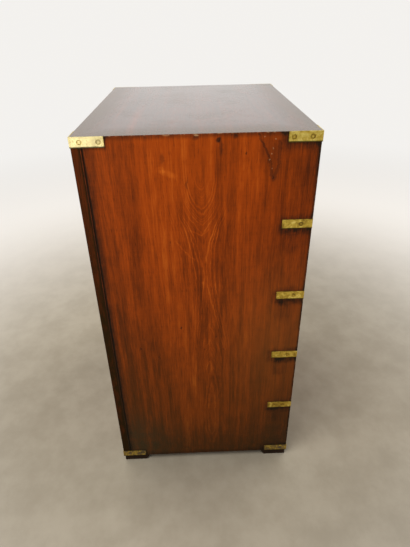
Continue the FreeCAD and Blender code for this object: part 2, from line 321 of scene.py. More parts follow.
# Colours by tone, from dark to pale
MAHOGANY = [
    (0.00, (0.008, 0.0035, 0.0018)),
    (0.22, (0.052, 0.0115, 0.0022)),
    (0.45, (0.155, 0.0260, 0.0026)),
    (0.70, (0.350, 0.0550, 0.0032)),
    (1.00, (0.580, 0.1350, 0.0120)),
]
LINING = [
    (0.00, (0.055, 0.0250, 0.0090)),
    (0.35, (0.215, 0.1080, 0.0400)),
    (0.70, (0.370, 0.2080, 0.0860)),
    (1.00, (0.500, 0.3200, 0.1500)),
]
# Colours that lie over the wood
GRIME = (0.012, 0.0085, 0.0050)
STILE_GRIME = (0.014, 0.0090, 0.0018)
TAN_FILM = (0.250, 0.0800, 0.0150)
# Partly a brown film and partly painted shade, laid on thicker towards the bottom
BROWN_FILM_AND_LOW_SHADE = (0.070, 0.0310, 0.0065)
BACK_DUST = (0.044, 0.0310, 0.0135)
FOOT_DUST = (0.036, 0.0205, 0.0070)
TOP_DUST = (0.075, 0.0500, 0.0220)
BARE = (0.420, 0.2400, 0.1100)
# Roughness of clean old varnish, and how much full dirt adds to it
VARNISH = 0.38
DULL = 0.25


class Wood:
    """The grain of one kind of solid board: a is along the grain, c across its face
    and t into its thickness."""

    def __init__(self, paint, a, c, t, seed):
        self.paint = paint
        self.a = a
        self.c = c
        self.t = t
        self.seed = seed
        self.fibres = self.streaks(400, 22, 3.0, 0.6)
        self.ribbons = self.streaks(46, 2.2, 3.0, 0.6)
        self.pores = self.streaks(900, 60, 1.0, 0.5).step(0.60, 0.72)

    def streaks(self, across, along, detail=2.0, roughness=0.5):
        """Noise that is much longer along the grain than across it."""
        parts = (self.c * across, self.a * along + self.seed, self.t * across)
        return self.paint.noise(parts, detail, roughness)

    def rings(self, heart_c, heart_t, spacing, wander, point=0.0):
        """A tone that follows the growth rings round the heart of the tree. Their arches
        are round at point 0 and sharper above it."""
        slow = self.streaks(9, 2.6)
        fine = self.streaks(60, 9)
        aside = self.c - heart_c
        away = self.paint.length(aside, self.t + heart_t) + abs(aside) * point
        away = away + slow.swing(wander * 4) + fine.swing(spacing * 0.5)
        return self.paint.line_noise(away / spacing, 3.0, 0.6)

    def plain_tone(self, heart, ring_share, ribbon_share, fibre_share, pore_share):
        """The tone of a board with no marks of its own, as a change round 0."""
        depth = self.paint.line_noise(self.a * 1.5 + self.seed, 1.0) * 0.09
        return (
            self.rings(heart, depth, 0.0040, 0.003).swing(ring_share)
            + self.ribbons.swing(ribbon_share)
            + self.streaks(150, 5).swing(0.20)
            + self.fibres.swing(fibre_share)
            - self.pores * pore_share
        )

    def finish(self, colour, roughness, relief=0.00012, **others):
        """Fill the material with that colour and a worn varnish over the pores, which
        are as deep as the relief."""
        rough = self.fibres.swing(0.12) + self.pores * 0.10 + roughness
        normal = self.paint.bump(self.fibres * 0.6 - self.pores, relief)
        surface(self.paint, colour, rough, normal, **others)


def board_axes(paint, grain, width):
    """Coordinates along the grain, across the face and through the board."""
    axes = dict(zip("XYZ", paint.place()))
    through = next(axis for axis in "XYZ" if axis not in (grain, width))
    return axes[grain], axes[width], axes[through]


def plain_wood(name, grain, width, palette, tone, seed, heart=0.05, figure=1.0,
               roughness=VARNISH, specular=0.12, dirt=None, film=GRIME):
    """A kind of board with no marks of its own. dirt gives its share of film."""
    material, paint = new_paint(name)
    wood = Wood(paint, *board_axes(paint, grain, width), seed)
    shade = wood.plain_tone(heart, 0.34 * figure, 0.45 * figure, 0.42, 0.16) + tone
    colour = paint.ramp(shade, palette)
    if dirt:
        share = paint.smaller(dirt(paint), 0.9)
        colour = paint.mix(share, colour, film)
        roughness = share * DULL + roughness
    wood.finish(colour, roughness, Specular_IOR_Level=specular)
    return material


def top_wood(name, seed):
    """The board on top: dark polished mahogany, dull and dusty towards its edges."""
    material, paint = new_paint(name)
    a, c, t = board_axes(paint, "X", "Y")
    wood = Wood(paint, a, c, t, seed)
    face = t.step(CASE_HIGH - 0.0020, CASE_HIGH - 0.0008)
    shade = wood.plain_tone(0.03, 0.20, 0.34, 0.26, 0.08) + face.step(0.0, 1.0, 0.44, 0.23)
    colour = paint.ramp(shade, MAHOGANY)
    cloud = paint.noise((a * 9, c * 9, seed), 5.0, 0.65)
    edge = paint.smaller(a + HALF_WIDTH, HALF_DEPTH - abs(c)) + cloud.swing(0.05)
    dust = (edge.step(0.0, 0.075, 0.55, 0.0) + cloud.step(0.45, 0.75, 0.0, 0.35)) * face
    colour = paint.mix(dust, colour, TOP_DUST)
    polish = edge.step(0.0, 0.16, 0.86, 1.0)
    wood.finish(
        colour, dust * 0.45 + 0.30, relief=0.00002,
        Specular_IOR_Level=0.2, Coat_Weight=polish, Coat_Roughness=0.08, Coat_IOR=1.6,
    )
    return material


# The ends of the case. Places on them are the distance from the back edge, then the
# height.

# Height, and how deep behind the face the heart of the tree lies there, in decimetres:
# the figure's arches and hourglass come from it
HEART_DEPTHS = [
    (0.00, 0.50),
    (0.07, 0.42),
    (0.15, 0.35),
    (0.25, 0.37),
    (0.365, 0.46),
    (0.45, 0.57),
    (0.55, 0.65),
    (0.625, 0.67),
    (0.705, 0.60),
    (0.75, 0.44),
    (0.80, 0.22),
    (0.85, 0.09),
    (0.91, 0.03),
]
# Distance and the board's tone there
TONE_ACROSS = [
    (0.000, 0.38),
    (0.030, 0.50),
    (0.060, 0.51),
    (0.100, 0.53),
    (0.170, 0.64),
    (0.240, 0.59),
    (0.320, 0.58),
    (0.400, 0.51),
    (0.440, 0.50),
    (0.460, 0.49),
]
# The groove beside the bead at the back edge, and the joint with the stile behind it
QUIRK = 0.0205
STILE_JOINT = (0.0162, 0.0172)
# Dirt round the straps: a halo and a streak below it at each rail, and a halo at either
# end of the corner levels. Each row has the distance from the back edge, the height over
# the strap's middle, half the size, how far the dirt reaches past that, and its share.
RAIL_HALOS = [
    (0.432, -0.003, (0.030, 0.009), 0.022, 0.65),
    (0.418, -0.030, (0.006, 0.026), 0.020, 0.30),
]
CORNER_HALOS = [
    (0.030, 0.0, (0.031, 0.009), 0.010, 0.55),
    (0.430, 0.0, (0.031, 0.009), 0.024, 0.55),
]

# Marks that only the left end has. Each row of these three has a place, half the width
# and height, and a strength: changes of tone, dark marks and small bare ones.
TONES = [
    (0.290, 0.830, 0.045, 0.120, -0.06),
    (0.420, 0.790, 0.050, 0.110, -0.05),
    (0.150, 0.640, 0.060, 0.200, 0.05),
    (0.070, 0.840, 0.050, 0.130, -0.03),
    (0.245, 0.510, 0.016, 0.090, -0.07),
    (0.118, 0.200, 0.018, 0.120, 0.06),
    (0.250, 0.150, 0.080, 0.120, 0.05),
    (0.030, 0.650, 0.035, 0.130, -0.04),
    (0.240, 0.660, 0.300, 0.170, -0.04),
    (0.340, 0.660, 0.120, 0.150, -0.03),
    (0.040, 0.470, 0.035, 0.120, -0.05),
    (0.400, 0.400, 0.100, 0.180, 0.05),
]
DARK_BLOTS = [
    (0.270, 0.898, 0.006, 0.007, 0.80),
    (0.274, 0.884, 0.006, 0.022, 0.45),
    (0.165, 0.866, 0.006, 0.014, 0.35),
    (0.208, 0.815, 0.004, 0.014, 0.35),
    (0.321, 0.872, 0.002, 0.004, 0.75),
    (0.227, 0.902, 0.009, 0.006, 0.40),
    (0.300, 0.903, 0.006, 0.006, 0.45),
    (0.183, 0.470, 0.003, 0.006, 0.70),
    (0.083, 0.412, 0.003, 0.006, 0.65),
    (0.262, 0.440, 0.002, 0.004, 0.50),
    (0.280, 0.402, 0.002, 0.005, 0.50),
    (0.235, 0.403, 0.003, 0.004, 0.40),
    (0.126, 0.382, 0.003, 0.008, 0.40),
    (0.170, 0.693, 0.002, 0.004, 0.40),
    (0.360, 0.880, 0.022, 0.040, 0.25),
    (0.395, 0.890, 0.030, 0.030, 0.20),
    (0.378, 0.846, 0.018, 0.052, 0.30),
]
BARE_BLOTS = [
    (0.3535, 0.9015, 0.0016, 0.0016, 0.55),
    (0.3755, 0.8970, 0.0018, 0.0018, 0.65),
    (0.3700, 0.8800, 0.0014, 0.0030, 0.45),
    (0.3685, 0.8700, 0.0016, 0.0018, 0.65),
    (0.3660, 0.8590, 0.0020, 0.0020, 0.55),
    (0.3710, 0.8420, 0.0013, 0.0020, 0.45),
    (0.2290, 0.9070, 0.0060, 0.0020, 0.80),
    (0.1750, 0.9080, 0.0080, 0.0014, 0.50),
]
# Cracks: from one place to another, half the width, and strength
CRACKS = [
    ((0.343, 0.906), (0.364, 0.864), 0.0030, 0.42),
    ((0.366, 0.858), (0.371, 0.824), 0.0045, 0.34),
    ((0.382, 0.892), (0.383, 0.852), 0.0050, 0.28),
    ((0.383, 0.846), (0.374, 0.820), 0.0050, 0.28),
]
# A pale flash in the figure, its brightest spot, and thin pale veins
FLASH = ((0.158, 0.845), (0.186, 0.832), 0.008)
FLASH_SPOT = (0.164, 0.842, 0.007, 0.005, 0.10)
VEIN_HALF = 0.0022
VEINS = [
    ((0.180, 0.696), (0.200, 0.668)),
    ((0.200, 0.668), (0.218, 0.650)),
    ((0.212, 0.718), (0.235, 0.706)),
    ((0.235, 0.706), (0.250, 0.720)),
    ((0.247, 0.364), (0.237, 0.336)),
    ((0.247, 0.364), (0.258, 0.338)),
]


class EndBoard:
    """The upright board of an end of the case, with its figure, wear, dirt and painted shade
    towards the bottom: u is the distance from its back edge and z the height."""

    def __init__(self, name, outward, seed, marked):
        self.material, self.paint = new_paint(name)
        x, y, z = self.paint.place()
        u = HALF_DEPTH - y
        self.out = x * outward
        self.u = u
        self.z = z
        self.seed = seed
        self.marked = marked
        self.wood = Wood(self.paint, z, u, HALF_WIDTH - self.out, seed)
        self.mottle = self.paint.noise((u * 45, z * 15 + seed, 0.0), 3.0, 0.6)

        # Places that wander, for the outlines of stains and cracks
        drift = self.paint.stains((u * 60, z * 40, seed))
        self.drift_u = u + drift.swing(0.014)
        self.drift_z = z + self.paint.stains((u * 45, z * 70, seed + 9)).swing(0.022)
        self.soft_u = u + drift.swing(0.008)
        if marked:
            self.crack_u = u + self.paint.line_noise(z * 110, 2.0, 0.6).swing(0.006)

        self.blotchy = drift.step(0.25, 0.75, 0.60, 1.20)
        self.speckle = self.wood.fibres.step(0.30, 0.75, 1.20, 0.80)

    def patchy(self, share):
        """The share, broken up as dirt on open grain is."""
        return share * self.blotchy * self.speckle

    def figure(self):
        """The tone of the clean wood, with painted shade that darkens it towards the bottom."""
        paint, wood, u, z = self.paint, self.wood, self.u, self.z
        centre = z.step(0.30, 0.72, 0.251, 0.237)
        centre = centre + paint.line_noise(z * 3.1 + self.seed, 2.0).swing(0.010)
        jag = paint.noise((u * 90, z * 30, self.seed + 4), 2.0, 0.6).swing(0.006)
        depth = paint.curve(z, HEART_DEPTHS) * 0.1 + jag
        rings = wood.rings(centre, depth, 0.0028, 0.0014, point=0.3)
        aside = abs(u - centre)
        near_heart = aside.step(0.02, 0.10, 1.0, 0.25)
        pale_lines = rings.step(0.54, 0.64) * aside.step(0.024, 0.060, 1.0, 0.0)
        pale_lines = pale_lines * self.mottle.step(0.36, 0.58, 0.25, 1.0)
        pale_lines = pale_lines * z.step(0.72, 0.86, 1.0, 0.20)
        pale_strength = z.step(0.30, 0.70, 0.05, 0.12) + z.hump(0.715, 0.045) * 0.08
        ripple = paint.noise((u * 28, z * 230, self.seed), 2.0, 0.5)
        streaks = (
            wood.ribbons.swing(0.52)
            + wood.streaks(150, 5.5).swing(0.30)
            + wood.fibres.swing(0.34)
            + self.mottle.swing(0.26)
        )
        return (
            paint.curve(u, TONE_ACROSS)
            # Painted shade: lighter at the top and darker towards the bottom, as the light from
            # above falls off
            + z.step(0.02, 0.93, -0.06, 0.06)
            + streaks * z.step(0.20, 0.80, 1.40, 1.0)
            + rings.swing(near_heart) * z.step(0.70, 0.88, 0.32, 0.14)
            + pale_lines * pale_strength
            + ripple.swing(0.07)
            - wood.pores * 0.12
        )

    def add_tones(self, shade):
        """The clean wood's tone with the left end's own clouds, flash and veins."""
        for blot in TONES:
            shade = shade + self.paint.blot(self.drift_u, self.drift_z, *blot)
        flash = self.paint.near_segment(self.drift_u, self.drift_z, *FLASH)
        shade = shade + flash * self.mottle.step(0.30, 0.66) * 0.14
        shade = shade + self.paint.blot(self.drift_u, self.z, *FLASH_SPOT)
        for start, end in VEINS:
            vein = self.paint.near_segment(self.crack_u, self.z, start, end, VEIN_HALF)
            shade = shade + vein * 0.09
        return shade

    def add_films(self, colour):
        """A tan film towards the front, a brown one that thickens downwards and is partly painted
        shade of the weaker light low down, and dust that climbs highest at the back and front."""
        paint, u, z = self.paint, self.u, self.z
        tan = (u + self.mottle.swing(0.06)).step(0.22, 0.42) * z.hump(0.40, 0.34)
        colour = paint.mix(tan * 0.46, colour, TAN_FILM)
        # The brown film thickening downwards is partly painted shade
        colour = paint.mix(z.step(0.00, 0.78, 0.62, 0.0), colour, BROWN_FILM_AND_LOW_SHADE)
        foot = z.step(0.02, 0.26) + abs(u - 0.27).step(0.06, 0.24, 0.18, -0.22)
        dust = self.patchy(foot.step(-0.10, 0.95, 0.80, 0.0))
        dust_colour = paint.mix(u.step(0.03, 0.22), BACK_DUST, FOOT_DUST)
        return paint.mix(paint.smaller(dust, 0.9), colour, dust_colour)

    def dirt(self):
        """The share of grime."""
        paint, u, z = self.paint, self.u, self.z
        # The back, front, top and bottom edges
        dirt = u.step(0.021, 0.037, 0.68, 0.0) * z.step(0.80, 0.90, 1.0, 0.6)
        dirt = dirt + u.step(0.400, 0.440, 0.0, 0.16) + u.step(0.4535, 0.4590, 0.0, 0.68)
        dirt = dirt + u.step(0.425, 0.462, 0.0, 0.36) * z.step(0.76, 0.87)
        dirt = dirt + z.step(0.898, 0.9090, 0.0, 0.60) + z.step(0.021, 0.040, 0.5, 0.0)
        # The straps
        for levels, place, halos in (
            (RAIL_LEVELS, (self.drift_u, self.drift_z), RAIL_HALOS),
            (CORNER_LEVELS, (self.soft_u, z), CORNER_HALOS),
        ):
            for middle in levels:
                for halo_u, above, half_size, reach, share in halos:
                    halo = paint.near_box(*place, (halo_u, middle + above), half_size, reach)
                    dirt = dirt + halo * share
        dirt = self.patchy(dirt)
        # The joints, and the left end's own marks
        dirt = dirt + u.hump(QUIRK, 0.0030) * 0.9 + u.step(*STILE_JOINT, 1.0, 0.0)
        if self.marked:
            for start, end, half, share in CRACKS:
                dirt = dirt + paint.near_segment(self.crack_u, z, start, end, half) * share
            for blot in DARK_BLOTS:
                dirt = dirt + paint.blot(self.crack_u, z, *blot)
        return paint.smaller(dirt, 0.95)

    def bare(self):
        """The share of bare wood: worn outer corners and small scars."""
        paint, u, z = self.paint, self.u, self.z
        top_wear = paint.noise((u * 90, 0.0, self.seed), 3.0, 0.6).step(0.48, 0.60)
        front_wear = paint.noise((z * 70, 0.0, self.seed), 3.0, 0.6).step(0.50, 0.62)
        corner = self.out.step(HALF_WIDTH - 0.0022, HALF_WIDTH - 0.0010)
        top = z.step(0.9080, 0.9094) * top_wear
        front = u.step(0.4578, 0.4594) * front_wear
        bare = (top * 0.7 + front * 0.5) * corner
        if self.marked:
            for blot in BARE_BLOTS:
                bare = paint.blot(self.crack_u, z, *blot) + bare
        return paint.smaller(bare, 0.9)

    def finish(self):
        """The finished material."""
        shade = self.figure()
        if self.marked:
            shade = self.add_tones(shade)
        colour = self.add_films(self.paint.ramp(shade, MAHOGANY))
        dirt = self.dirt()
        colour = self.paint.mix(dirt, colour, GRIME)
        colour = self.paint.mix(self.bare(), colour, BARE)
        self.wood.finish(colour, dirt * DULL + VARNISH, Specular_IOR_Level=0.06)
        return self.material


# Dirt on the other boards


def face_dirt(name, across, reach, share):
    """Dirt that gathers at the named node's ends on every axis in across."""

    def dirt(paint):
        place = paint.place()
        stain = paint.stains(scaled(place, 55))
        low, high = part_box(name)
        near = 1.0
        for axis in across:
            k = "XYZ".index(axis)
            inside = (high[k] - low[k]) / 2 - abs(place[k] - (low[k] + high[k]) / 2)
            near = paint.smaller(inside, near)
        edge = near.step(0.0, reach, 1.0, 0.0) * near.step(-0.0005, 0.0)
        return edge * stain.step(0.25, 0.75, 0.3, 1.3) * share

    return dirt


def front_dirt(n):
    """Dirt on drawer n's front, at its edges and round its brass."""

    def dirt(paint):
        x, y, z = paint.place()
        low, high = front_boxes[n]
        drift = paint.stains(scaled((x, y, z), 60))
        wide = x + drift.swing(0.010)
        tall = z + drift.swing(0.010)
        edge = paint.smaller(x - low.x, high.x - x)
        edge = paint.smaller(edge, paint.smaller(z - low.z, high.z - z))
        total = edge.step(0.0, 0.012, 0.55, 0.0)
        bails = [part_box(f"drawer_{n}_bail_{side}") for side in ("left", "right")]
        centres = [(bail_low.x + bail_high.x) / 2 for bail_low, bail_high in bails]
        plate_low, plate_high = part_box(f"drawer_{n}_handle_plates")
        plate_half = (plate_high.x - centres[1], (plate_high.z - plate_low.z) / 2)
        middle = (plate_high.z + plate_low.z) / 2
        for centre in centres:
            halo = paint.near_box(wide, tall, (centre, middle - 0.002), plate_half, 0.013)
            total = total + halo * 0.6
        lock = paint.near_box(wide, tall, (0.0, high.z - 0.026), (0.008, 0.010), 0.010)
        total = total + lock * 0.5
        return total * drift.step(0.25, 0.75, 0.5, 1.25)

    return dirt


def foot_dirt(paint):
    """Dirt over the whole of the feet."""
    return paint.stains(scaled(paint.place(), 60)).step(0.2, 0.8, 0.5, 0.9)


def stile_dirt(paint):
    """Dirt on the back stiles' outer strips and in their joint with the ends."""
    x, y, z = paint.place()
    drift = paint.stains((x * 60, y * 60, z * 30))
    outer = abs(x).step(HALF_WIDTH - 0.010, HALF_WIDTH - 0.001)
    joint = HALF_DEPTH - 0.016
    dirt = z.step(0.50, 0.89, 0.85, 0.33) + y.step(joint, joint + 0.005, 0.5, 0.0)
    dirt = outer * dirt * drift.step(0.25, 0.75, 0.6, 1.2)
    return dirt + z.step(0.02, 0.14, 0.5, 0.0) + outer * y.hump(joint, 0.0012)


# Brass

# Colours by tone, from dark to pale, and those that lie over them
BRASS = [
    (0.00, (0.045, 0.0280, 0.0080)),
    (0.35, (0.300, 0.1900, 0.0330)),
    (0.70, (0.620, 0.4300, 0.0650)),
    (1.00, (0.880, 0.7000, 0.1800)),
]
BRASS_DUST = (0.240, 0.200, 0.140)
# Painted shadow, with some dirt, for the straps' lower edges
BRASS_SHADOW_AND_GRIME = (0.045, 0.027, 0.009)
# Pale cream for a painted highlight at the top of the back left corner
PAINTED_HIGHLIGHT_BRASS = (0.910, 0.800, 0.430)
# Dirt on the straps: where it begins and is full along a leg on the side, and how wide its ring
# round a screw is. A painted shadow line with some dirt along a strap's lower edge: where it
# begins and is full below the unshaded line, which is a little above a strap's middle
LEG_END = (0.0565, 0.0625)
SEAT_RING = 0.0024
UNSHADED_LINE = 0.0012
LOW_SHADOW_REACH = (0.0086, 0.0096)


def seat_dirt(paint, x, y, z):
    """Dirt that rings the screws of the straps and lies along the straps' ends."""
    beside = HALF_DEPTH - abs(y)
    before = HALF_WIDTH - abs(x)
    on_side = before.step(0.001, 0.002, 1.0, 0.0)
    on_face = 1.0 - on_side
    wander = paint.noise(scaled((x, y, z), 300), 3.0, 0.6).swing(0.003)
    total = beside.step(*LEG_END, 0.0, 0.5) * on_side
    for levels, side_screws, face_screws, share in (
        (CORNER_LEVELS, CORNER_SIDE_SCREWS, CORNER_FACE_SCREWS, 0.8),
        (RAIL_LEVELS, (DIVIDER_SCREW,), (DIVIDER_SCREW,), 0.5),
    ):
        off = 1.0
        for middle in levels:
            off = paint.smaller(abs(z - middle), off)
        for across, reaches, here in (
            (beside, side_screws, on_side),
            (before, face_screws, on_face),
        ):
            for reach in reaches:
                away = paint.length(across - reach, off) + wander
                total = total + away.hump(HEAD, SEAT_RING) * here * share
    return total


def painted_low_shadow(paint, x, y, z):
    """1 along the lower edges of the straps: a painted shadow line, with some dirt."""
    wander = paint.noise(scaled((x, y, z), 160), 3.0, 0.6).swing(0.002)
    off = 1.0
    for middle in CORNER_LEVELS + RAIL_LEVELS:
        off = paint.smaller(abs(z - middle - UNSHADED_LINE), off)
    return (off + wander).step(*LOW_SHADOW_REACH)


def brass(name, brush, tone=0.62, strap=False):
    """Old brass with brush marks along one axis, brown in its hollows. A strap also has dirt round
    its screws, a painted shadow line with some dirt along its lower edge, and a pale painted
    highlight at the top of the back left corner."""
    material, paint = new_paint(name)
    place = x, y, z = paint.place()
    brushed = [part * (60 if axis == brush else 1400) for axis, part in zip("XYZ", place)]
    marks = paint.noise(brushed, 2.0, 0.6)
    patches = paint.noise(scaled(place, 60), 4.0, 0.65, 0.8)
    spots = paint.noise(scaled(place, 420), 2.0, 0.6).step(0.60, 0.72)
    low = z.step(0.03, 0.10, 1.0, 0.0)
    old = z.step(0.03, 0.60, 0.12, 0.0) + z.step(0.03, 0.10, 0.10, 0.0)
    shade = patches.swing(1.5) + marks.swing(0.45) - spots * 0.35 - old + tone
    if strap:
        seats = seat_dirt(paint, x, y, z)
        worn = paint.noise(scaled(place, 150), 2.0, 0.5).step(0.52, 0.68)
        shade = shade - seats * 0.40 + worn * (1.0 - seats) * 0.22
        shade = shade + z.step(0.76, 0.88, 0.0, 0.12) - z.hump(0.66, 0.17) * 0.18
    shade = shade + patches.swing(low)
    colour = paint.ramp(shade, BRASS)
    colour = paint.mix(low * shade.step(0.25, 0.60, 0.55, 0.15), colour, BRASS_DUST)
    if strap:
        # A painted highlight: pale cream at the top of the back left corner, weaker over the screw
        # seats and spots
        painted_highlight = y.step(0.10, 0.19) * z.step(0.70, 0.88)
        painted_highlight = painted_highlight * x.step(0.004 - HALF_WIDTH, 0.024 - HALF_WIDTH, 1.0, 0.0)
        painted_highlight = painted_highlight * seats.step(0.0, 0.8, 1.0, 0.45) * spots.step(0.0, 1.0, 0.85, 0.5)
        colour = paint.mix(painted_highlight, colour, PAINTED_HIGHLIGHT_BRASS)
        # A painted shadow line, with some dirt, along the straps' lower edges
        colour = paint.mix(painted_low_shadow(paint, x, y, z) * 0.88, colour, BRASS_SHADOW_AND_GRIME)
    rough = marks.swing(0.25) - patches.swing(0.55) + spots * 0.2 + old * 0.2 + 0.36
    surface(paint, colour, rough, paint.bump(marks * 0.5 + patches, 0.00015), Metallic=1.0)
    return material


# Screws and eased edges

# Steps in which half of a screw head, or of its seat, goes round
ARC_STEPS = 14


def add_object(name, data):
    """A new object in the scene."""
    made = bpy.data.objects.new(name, data)
    bpy.context.scene.collection.objects.link(made)
    return made


def facing(outward):
    """The turn that takes Z to that direction."""
    return Vector(outward).to_track_quat("Z", "Y").to_matrix()


def full_circle():
    """The angles of a whole turn."""
    return [2 * math.pi * k / (2 * ARC_STEPS) for k in range(2 * ARC_STEPS)]


def add_ring(mesh, place, spin, radius, angles, height):
    """Vertices at those angles round the place, at a height over it."""
    return [
        mesh.verts.new(place + spin @ Vector((radius * math.cos(b), radius * math.sin(b), height)))
        for b in angles
    ]


def close_rings(mesh, bottom, top):
    """Join two rings of vertices into a closed solid."""
    mesh.faces.new(top)
    mesh.faces.new(bottom[::-1])
    for k in range(len(top)):
        after = (k + 1) % len(top)
        mesh.faces.new((bottom[k], bottom[after], top[after], top[k]))


def add_head(mesh, place, outward, radius, turn):
    """A flat slotted screw head whose face is at the place and looks outward."""
    spin = facing(outward) @ Matrix.Rotation(turn, 3, "Z")
    slot = math.asin(SLOT_HALF / radius)
    arc = math.pi - 2 * slot
    halves = [
        [side + slot + arc * k / ARC_STEPS for k in range(ARC_STEPS + 1)]
        for side in (0.0, math.pi)
    ]
    for solid_radius, angles, top in (
        (radius, halves[0], 0.0),
        (radius, halves[1], 0.0),
        (radius * 0.97, full_circle(), -SLOT_DEPTH),
    ):
        close_rings(
            mesh,
            add_ring(mesh, place, spin, solid_radius, angles, -HEAD_DEPTH),
            add_ring(mesh, place, spin, solid_radius, angles, top),
        )


def add_sink(mesh, place, outward, radius):
    """A cone that opens a countersunk seat round a screw head."""
    spin = facing(outward)
    angles = full_circle()
    wide = add_ring(mesh, place, spin, radius * 1.25, angles, radius * 0.25)
    deep = add_ring(mesh, place, spin, radius - HEAD_DEPTH * 0.5, angles, -HEAD_DEPTH)
    close_rings(mesh, deep, wide)


def strap_screws():
    """Places and outward directions of the screws in the brass straps."""
    corner_x, corner_y = strap_high.x, strap_high.y
    divider_x, divider_y = divider_high.x, -divider_low.y
    spots = []
    for z in CORNER_LEVELS:
        for sx in (-1, 1):
            for sy in (-1, 1):
                for reach in CORNER_SIDE_SCREWS:
                    spots.append(((sx * corner_x, sy * (corner_y - reach), z), (sx, 0, 0)))
                for reach in CORNER_FACE_SCREWS:
                    spots.append(((sx * (corner_x - reach), sy * corner_y, z), (0, sy, 0)))
    for z in RAIL_LEVELS:
        for sx in (-1, 1):
            spots.append(((sx * divider_x, DIVIDER_SCREW - divider_y, z), (sx, 0, 0)))
            spots.append(((sx * (divider_x - DIVIDER_SCREW), -divider_y, z), (0, -1, 0)))
    return spots


def plate_screws(n):
    """Places and outward directions of the screws in drawer n's two handle plates."""
    low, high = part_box(f"drawer_{n}_handle_plates")
    bail_low, bail_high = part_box(f"drawer_{n}_bail_left")
    centre = (bail_low.x + bail_high.x) / 2
    middle = (low.z + high.z) / 2
    spots = []
    for side in (centre, -centre):
        for dx in (-PLATE_SCREW_ASIDE, PLATE_SCREW_ASIDE):
            for dz in (-PLATE_SCREW_ABOVE, PLATE_SCREW_ABOVE):
                spots.append(((side + dx, low.y, middle + dz), (0, -1, 0)))
    return spots


def add_piece(name, mesh):
    """A new object from a bmesh, which is used up."""
    data = bpy.data.meshes.new(name)
    mesh.to_mesh(data)
    mesh.free()
    return add_object(name, data)


def screws(name, body, spots, radius, rise, chance, material):
    """One piece with a slotted head at every spot."""
    mesh = bmesh.new()
    for place, outward in spots:
        lifted = Vector(place) + Vector(outward) * rise
        add_head(mesh, lifted, outward, radius, chance.uniform(0, 3))
    piece = add_piece(name, mesh)
    piece.data.materials.append(material)
    bevel = piece.modifiers.new("edge", "BEVEL")
    bevel.width = SCREW_EDGE
    bevel.segments = 2
    bevel.limit_method = "ANGLE"
    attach(piece, body)


def ease(piece, width):
    """Round the sharp edges of a CAD node a little, as hand work leaves them."""
    weld = piece.modifiers.new("weld", "WELD")
    weld.merge_threshold = 0.00001
    flat = piece.modifiers.new("flat", "DECIMATE")
    flat.decimate_type = "DISSOLVE"
    flat.angle_limit = math.radians(0.5)
    bevel = piece.modifiers.new("ease", "BEVEL")
    bevel.width = width
    bevel.segments = 2
    bevel.limit_method = "ANGLE"
    bevel.angle_limit = math.radians(35)
    bevel.harden_normals = True
    join = piece.modifiers.new("join", "WELD")
    join.merge_threshold = 0.00002


def sink_seats(spots, *names):
    """Open a countersunk seat at every spot in the named CAD nodes."""
    mesh = bmesh.new()
    for place, outward in spots:
        add_sink(mesh, Vector(place), outward, HEAD + SEAT_GAP)
    cutter = add_piece("sinks", mesh)
    cutter.hide_render = True
    cutter.hide_viewport = True
    for name in names:
        cut = nodes[name].modifiers.new("sinks", "BOOLEAN")
        cut.operation = "DIFFERENCE"
        cut.solver = "EXACT"
        cut.object = cutter


# Stage

FLOOR_REACH = 14.0
FLOOR_DARK = (0.315, 0.280, 0.218)
FLOOR_PALE = (0.375, 0.337, 0.268)
FLOOR_FAR = (0.80, 0.78, 0.75)
BACKDROP = (1.0, 0.980, 0.950)
BACKDROP_STRENGTH = 0.90
ROOM = (1.0, 0.97, 0.93)
ROOM_STRENGTH = 0.38

# The photo's camera, from a perspective fit: its place, how far it is turned from
# looking along +X by yaw, pitch and roll in degrees, and its lens in millimetres
CAMERA_PLACE = (-1.09841, 0.00919, 1.09871)
CAMERA_TURN = (1.3643, 31.0773, -1.1941)
CAMERA_LENS = 28.656


def build_floor():
    """A plain floor that turns paler with distance and joins the backdrop."""
    reach = FLOOR_REACH
    corners = [(-reach, -reach, 0), (reach, -reach, 0), (reach, reach, 0), (-reach, reach, 0)]
    mesh = bpy.data.meshes.new("floor")
    mesh.from_pydata(corners, [], [(0, 1, 2, 3)])
    floor = add_object("floor", mesh)
    material, paint = new_paint("floor")
    x, y, z = paint.place()
    away = paint.length(x, y)
    clouds = paint.noise((x * 9, y * 9, z), 5.0, 0.62)
    ground = paint.mix(clouds.step(0.3, 0.7), FLOOR_DARK, FLOOR_PALE)
    matt = paint.node("ShaderNodeBsdfDiffuse")
    paint.put(matt.inputs["Color"], paint.mix(away.step(0.45, 2.0), ground, FLOOR_FAR))
    paint.put(matt.inputs["Normal"], paint.bump(clouds, 0.0005))
    glow = paint.node("ShaderNodeEmission")
    paint.put(glow.inputs["Color"], [BACKDROP_STRENGTH * part for part in BACKDROP])
    share = paint.light_path("Is Camera Ray") * away.step(1.0, 3.5)
    paint.output(paint.mix_shaders(share, matt, glow))
    mesh.materials.append(material)


def build_world():
    """Dim light from the room all round, and a pale backdrop to look at or mirror."""
    world = bpy.data.worlds.new("room")
    bpy.context.scene.world = world
    world.use_nodes = True
    paint = Paint(world.node_tree)

    def background(colour, strength):
        node = paint.node("ShaderNodeBackground")
        paint.put(node.inputs["Color"], colour)
        node.inputs["Strength"].default_value = strength
        return node

    through = paint.larger(
        paint.light_path("Is Glossy Ray"), paint.light_path("Is Transmission Ray")
    )
    seen = paint.larger(paint.light_path("Is Camera Ray"), through)
    room = background(ROOM, ROOM_STRENGTH)
    sight = background(BACKDROP, BACKDROP_STRENGTH)
    paint.output(paint.mix_shaders(seen, room, sight), "World")


def lamp(name, place, target, size, power, colour, mirrored=True):
    """A square soft lamp that points at the target. Polish shows it only if mirrored."""
    data = bpy.data.lights.new(name, "AREA")
    data.size = size
    data.energy = power
    data.color = colour
    made = add_object(name, data)
    made.location = place
    made.rotation_mode = "QUATERNION"
    made.rotation_quaternion = (Vector(target) - Vector(place)).to_track_quat("-Z", "Y")
    made.visible_glossy = mirrored


